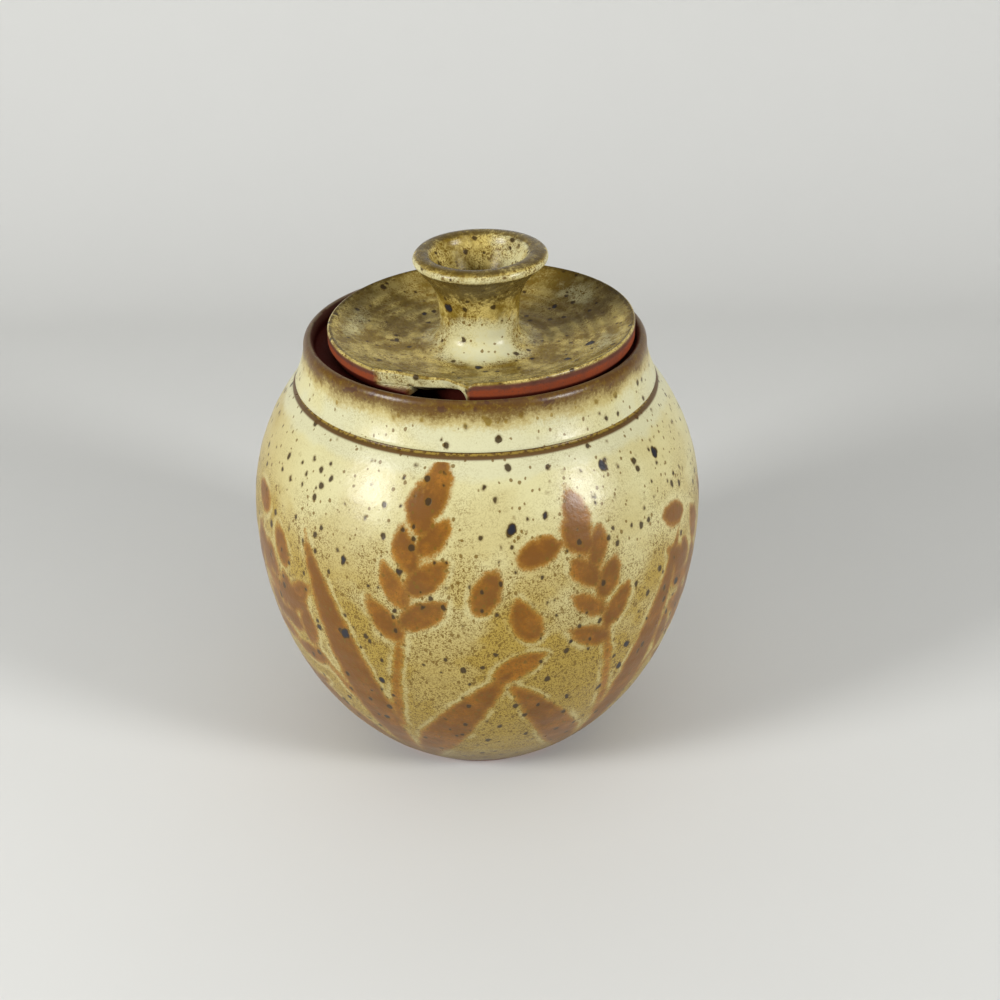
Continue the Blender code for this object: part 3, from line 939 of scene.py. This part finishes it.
class POTTERY_OT_pot(bpy.types.Operator):
    """Throw the pot, brush its design and glaze it"""

    bl_idname = "pottery.pot"
    bl_label = "Throw the pot"

    def execute(self, context):
        settings = context.scene.honey_pot
        form = settings.pot
        pot = throw("thrown_pot", pot_outline(form), POT_TURNS)
        points, radius, azimuth, height = read_points(pot)
        lip_middle = (form.gallery_radius + form.lip_radius) / 2
        glaze_line = lip_middle + 2 * SLACK
        wall = np.array([outer_radius(form, min(z, form.shoulder_height)) for z in height])
        body = (height > form.foot_height) & (height < form.shoulder_height) & (radius > wall - form.wall / 2)
        collar = (height >= form.shoulder_height) & (radius > lip_middle)
        distance, load = measure_wash(form, settings.brush, points, brushed_strokes(form, settings.brush))
        distance[~body] = settings.brush.reach
        paint(pot, "wash", distance)
        paint(pot, "load", np.where(body, load, 0.0))
        paint(pot, "inside", 1.0 - smooth_step(radius, lip_middle - 0.6 * MM, glaze_line))
        groove_middle = form.shoulder_height + form.groove_width / 3
        paint(pot, "groove", (body | collar) * bell(height, groove_middle, GROOVE_SPREAD))
        gallery = (radius < lip_middle) & (radius > form.gallery_radius - form.ledge_width - MM)
        gallery &= (height > form.ledge_height - form.ledge_thickness) & (height < form.top_height)
        clay = gallery * smooth_step(radius, glaze_line, lip_middle - 0.7 * MM)
        foot = (height <= form.foot_height + SLACK) & (radius < form.foot_radius + 3 * SLACK)
        paint(pot, "bare", np.where(foot, 1.0, clay))
        relief = np.where(body | collar, finger_rings(azimuth, height, form.ring_relief), 0.0)
        relief *= between(height, form.foot_height, RINGS_FROM, RINGS_TO, form.shoulder_height)
        push(points, radius, radius + relief)
        write_points(pot, points)
        pot.data.materials.append(pot_glaze(settings.colours, form))
        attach(pot, "pot")
        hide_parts("pot_body")
        return {"FINISHED"}


class POTTERY_OT_lid(bpy.types.Operator):
    """Throw the lid with its knob, press the spoon notch and glaze it"""

    bl_idname = "pottery.lid"
    bl_label = "Throw the lid"

    def execute(self, context):
        settings = context.scene.honey_pot
        form = settings.lid
        lid = throw("thrown_lid", lid_outline(form), LID_TURNS)
        points, radius, azimuth, height = read_points(lid)
        crest = form.radius - form.edge_round
        shoulder = form.edge_height - form.edge_round
        seat_outer = form.radius - form.seat_inset
        edge = radius > seat_outer - SLACK
        dish = (np.abs(height - dish_rise(form, radius)) < 2 * HAIR) & (radius > form.root_radius)
        rim_low = form.rim_height - form.rim_half_height
        rim_top = form.rim_height + form.rim_half_height
        up = share_of(height, form.hollow_height, form.rim_height)
        mouth = form.rim_radius - form.rim_half_width
        hollow = form.hollow_radius + (mouth - form.hollow_radius) * up**form.hollow_power
        outside = (radius > hollow + MM) & (height > 0.0)
        column = outside & (radius < form.root_radius + 6 * MM)
        inner = (radius <= hollow + MM) & (radius < form.rim_radius)
        inner &= height > form.hollow_height + 3 * MM

        # Where the glaze runs thin: the rim's top and the dish's crest; under the rim and on the knob's neck
        # the brown is also painted shade
        on_top = smooth_step(np.abs(height - rim_top), 1.3 * MM, 0.2 * MM)
        on_top = on_top * (radius > form.rim_radius - 2.1 * MM)
        under_rim = between(height - rim_low, *RIM_UNDERSIDE) * outside
        neck = smooth_step(height, 9 * MM, 16 * MM) * column * (height < rim_low)
        at_crest = dish * smooth_step(radius, crest - 1.6 * MM, crest)
        thin = np.maximum.reduce((0.72 * on_top, 0.85 * under_rim, 0.76 * neck, 0.74 * at_crest))

        # Where it pools: round the knob's root, on its rim, in its hollow, paler to the right there, and on
        # one ring of the dish; the root's pool, strongest at the front, and the rim's pale face are partly
        # painted highlight, and the dish's patches are painted reflections
        front_highlight = 0.50 + 0.50 * smooth_step(np.abs(azimuth - 0.05), 1.05, 0.45)
        root = smooth_step(height, form.waist_height + 8.5 * MM, form.waist_height) * column
        root_low, root_high = form.root_radius + 4.5 * MM, form.root_radius - 3 * MM
        root *= smooth_step(radius, root_low, root_high) * front_highlight
        # The rim's pale outer face is partly painted highlight
        rim_face = smooth_step(height, rim_low + 0.4 * MM, rim_low + 1.1 * MM)
        rim_face *= smooth_step(height, rim_top - 0.4 * MM, rim_top - MM) * outside
        right_side = 0.24 + 0.46 * smooth_step(points[:, 0], MM, 8 * MM)
        # Pale patches on one ring of the dish are painted reflections
        painted_sheen = sum(amount * bell(azimuth, turn, spread) for turn, spread, amount in DISH_SHEEN_PATCHES)
        middle_ring = dish * bell(radius, 30 * MM, 4 * MM)
        pool = np.maximum.reduce((root, 0.62 * rim_face, inner * right_side, 0.62 * middle_ring * painted_sheen))

        # Bare clay round the edge and on the seat, the rings of the dish, and painted shade darkening the
        # dish's far side
        edge_band = edge & (height < form.edge_height - 2 * SLACK)
        clay = smooth_step(height, form.edge_height - 3 * SLACK, form.edge_height - 8 * SLACK)
        seat = (height < SLACK) & (radius > form.underside_radius + 2 * SLACK)
        bare = np.where(seat, 1.0, np.where(edge_band, clay, 0.0))
        ring = 2 * math.pi * radius / DISH_RING + azimuth + 1.4 * np.sin(radius / (2.1 * MM))
        ring = 0.5 + 0.5 * np.sin(ring)
        # Painted shade: the dish darkens towards its back and right
        far_side_shade = smooth_step(points[:, 1] + 0.35 * points[:, 0], -4 * MM, 22 * MM)

        # The notch: its depth at each vertex, with the low step of clay kept at its left
        kept = (azimuth < form.notch_step_end) & (height < form.notch_step + SLACK)
        share = np.where(kept, 0.0, notch_share(form, azimuth))
        tuck = np.clip(1.0 - height / form.notch_wall_foot, 0.0, 1.0)
        beads = 0.03 * np.sin(azimuth / 0.031 + height / (1.1 * MM))
        beads = 1.0 + 0.05 * np.sin(azimuth / 0.052) + beads
        depth = share * beads * (form.notch_top_depth + (form.notch_seat_depth - form.notch_top_depth) * tuck)
        hold = share_of(radius, form.underside_radius, seat_outer)
        moved = radius - depth * hold
        cut = np.minimum(1.0, 5.0 * share)
        wall = cut * edge * (height < shoulder)
        paint(lid, "thin", thin * (1.0 - wall))
        # The notch's wall is painted pale as well, partly a painted highlight
        paint(lid, "pool", np.maximum(pool, 0.74 * wall))
        paint(lid, "bare", bare * (1.0 - cut * (height > 2 * SLACK)))
        paint(lid, "rings", np.where(dish, 0.50 * ring + 0.66 * far_side_shade, 0.2))
        paint(lid, "dish", np.maximum(dish, 0.5 * (column | inner)))
        paint(lid, "rise", height / form.edge_height)

        rising = smooth_step(height, form.edge_foot, shoulder)
        sink = form.edge_height - dish_rise(form, crest - share * form.notch_top_depth)
        right, turn = form.notch_right, form.notch_corner
        corner = between(azimuth, right - 2 * turn, right - turn / 2, right - turn / 2, right + turn / 2)
        slump = form.notch_slump * corner * smooth_step(radius, crest - 3 * MM, crest) * rising
        lip = form.notch_lip * np.minimum(1.0, 2.0 * share) * smooth_step(radius, crest - 6 * MM, crest)
        lip *= smooth_step(height, form.notch_wall_foot, shoulder)
        turned = dish_rise(form, moved) - DISH_RING_DEPTH * ring
        points[:, 2] = np.where(dish, turned, height - sink * hold * rising) - slump + lip
        push(points, radius, moved)
        knob = (height >= form.dish_height) & (radius < form.root_radius + SLACK)
        points[:, 0] -= form.knob_shift * knob
        tilt = np.clip(points[:, 2] / form.edge_height, 0.0, 1.0)
        points[:, 2] += tilt * (form.lean * points[:, 0] + form.lean_back * points[:, 1]) / form.radius
        write_points(lid, points)
        lid.location = (form.middle, 0.0, form.seat)
        bpy.ops.object.transform_apply(location=True, rotation=True, scale=True)
        lid.data.materials.append(lid_glaze(settings.colours))
        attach(lid, "lid")
        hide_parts("lid")
        return {"FINISHED"}


def backdrop_material(tint):
    """Pale matt floor with a faint unevenness."""
    net = Net("pale_studio_floor")
    shade = tuple(0.86 * part for part in tint)
    return net.surface({"Base Color": net.lay(tint, shade, net.noise("floor"), 0.16), "Roughness": 0.9})


def soft_lamp(name, azimuth, elevation, distance, width, height, power):
    """A soft rectangular lamp that faces the pot."""
    bpy.ops.object.light_add(type="AREA")
    lamp = bpy.context.object
    lamp.name = name
    lamp.data.shape = "RECTANGLE"
    lamp.data.size, lamp.data.size_y = width, height
    lamp.data.energy = power
    azimuth, elevation = azimuth * DEGREE, elevation * DEGREE
    level = math.cos(elevation)
    direction = Vector((level * math.sin(azimuth), -level * math.cos(azimuth), math.sin(elevation)))
    lamp.location = AIM + direction * distance
    lamp.rotation_euler = direction.to_track_quat("Z", "Y").to_euler()


class POTTERY_OT_stage(bpy.types.Operator):
    """Set the floor, the lamps and the camera"""

    bl_idname = "pottery.stage"
    bl_label = "Set the stage"

    def execute(self, context):
        stage = context.scene.honey_pot.stage
        bpy.ops.object.select_all(action="DESELECT")
        bpy.ops.mesh.primitive_plane_add(size=stage.floor_size)
        floor = context.object
        floor.name = "studio_floor"
        floor.location.y = stage.wall_distance - stage.floor_size / 2
        bpy.ops.object.transform_apply(location=True, rotation=True, scale=True)
        bpy.ops.object.mode_set(mode="EDIT")
        bpy.ops.mesh.select_all(action="DESELECT")
        bpy.ops.object.mode_set(mode="OBJECT")
        far = stage.wall_distance - MM
        for edge in floor.data.edges:
            edge.select = all(floor.data.vertices[index].co.y > far for index in edge.vertices)
        bpy.ops.object.mode_set(mode="EDIT")
        bpy.ops.mesh.select_mode(type="EDGE")
        bpy.ops.mesh.extrude_region_move(TRANSFORM_OT_translate={"value": (0.0, 0.0, stage.floor_size)})
        bpy.ops.object.mode_set(mode="OBJECT")
        curve = floor.modifiers.new("sweep", "BEVEL")
        curve.width = SWEEP_RADIUS
        curve.segments = 24
        curve.limit_method = "ANGLE"
        bpy.ops.object.modifier_apply(modifier="sweep")
        bpy.ops.object.shade_smooth()
        floor.data.materials.append(backdrop_material(tuple(stage.floor_colour)))

        for lamp, power in zip(LAMPS, (stage.left_power, stage.right_power, stage.top_power)):
            soft_lamp(*lamp, power)
        world = bpy.data.worlds.new("studio_room")
        world.use_nodes = True
        shade = world.node_tree.nodes["Background"]
        shade.inputs["Color"].default_value = ROOM_TINT
        shade.inputs["Strength"].default_value = stage.room
        context.scene.world = world
        context.scene.view_settings.view_transform = "Standard"

        bpy.ops.object.camera_add(location=(0.0, -stage.camera_distance, stage.camera_height))
        camera = context.object
        camera.name = "viewpoint"
        camera.data.lens = stage.lens
        camera.rotation_euler = (math.pi / 2 - stage.pitch, 0.0, stage.yaw)
        camera.rotation_euler.rotate_axis("Z", stage.roll)
        context.scene.camera = camera
        return {"FINISHED"}


class POTTERY_PT_panel(bpy.types.Panel):
    """The honey pot's operators and settings"""

    bl_idname = "POTTERY_PT_panel"
    bl_label = "Honey pot"
    bl_space_type = "VIEW_3D"
    bl_region_type = "UI"
    bl_category = "Honey pot"

    def draw(self, context):
        layout = self.layout
        for operator in OPERATORS:
            layout.operator(operator.bl_idname)
        settings = context.scene.honey_pot
        for part in (settings.pot, settings.lid, settings.colours, settings.brush, settings.stage):
            box = layout.box()
            for name in part.bl_rna.properties.keys():
                if name not in ("name", "rna_type"):
                    box.prop(part, name)


GROUPS = (PotForm, LidForm, GlazeColours, BrushDesign, StudioStage, HoneyPotSettings)
OPERATORS = (POTTERY_OT_pot, POTTERY_OT_lid, POTTERY_OT_stage)


def register():
    for item in (*GROUPS, *OPERATORS, POTTERY_PT_panel):
        bpy.utils.register_class(item)
    bpy.types.Scene.honey_pot = bpy.props.PointerProperty(type=HoneyPotSettings)


def unregister():
    del bpy.types.Scene.honey_pot
    for item in reversed((*GROUPS, *OPERATORS, POTTERY_PT_panel)):
        bpy.utils.unregister_class(item)


def main():
    register()
    bpy.ops.pottery.pot()
    bpy.ops.pottery.lid()
    bpy.ops.pottery.stage()


if __name__ == "__main__":
    main()
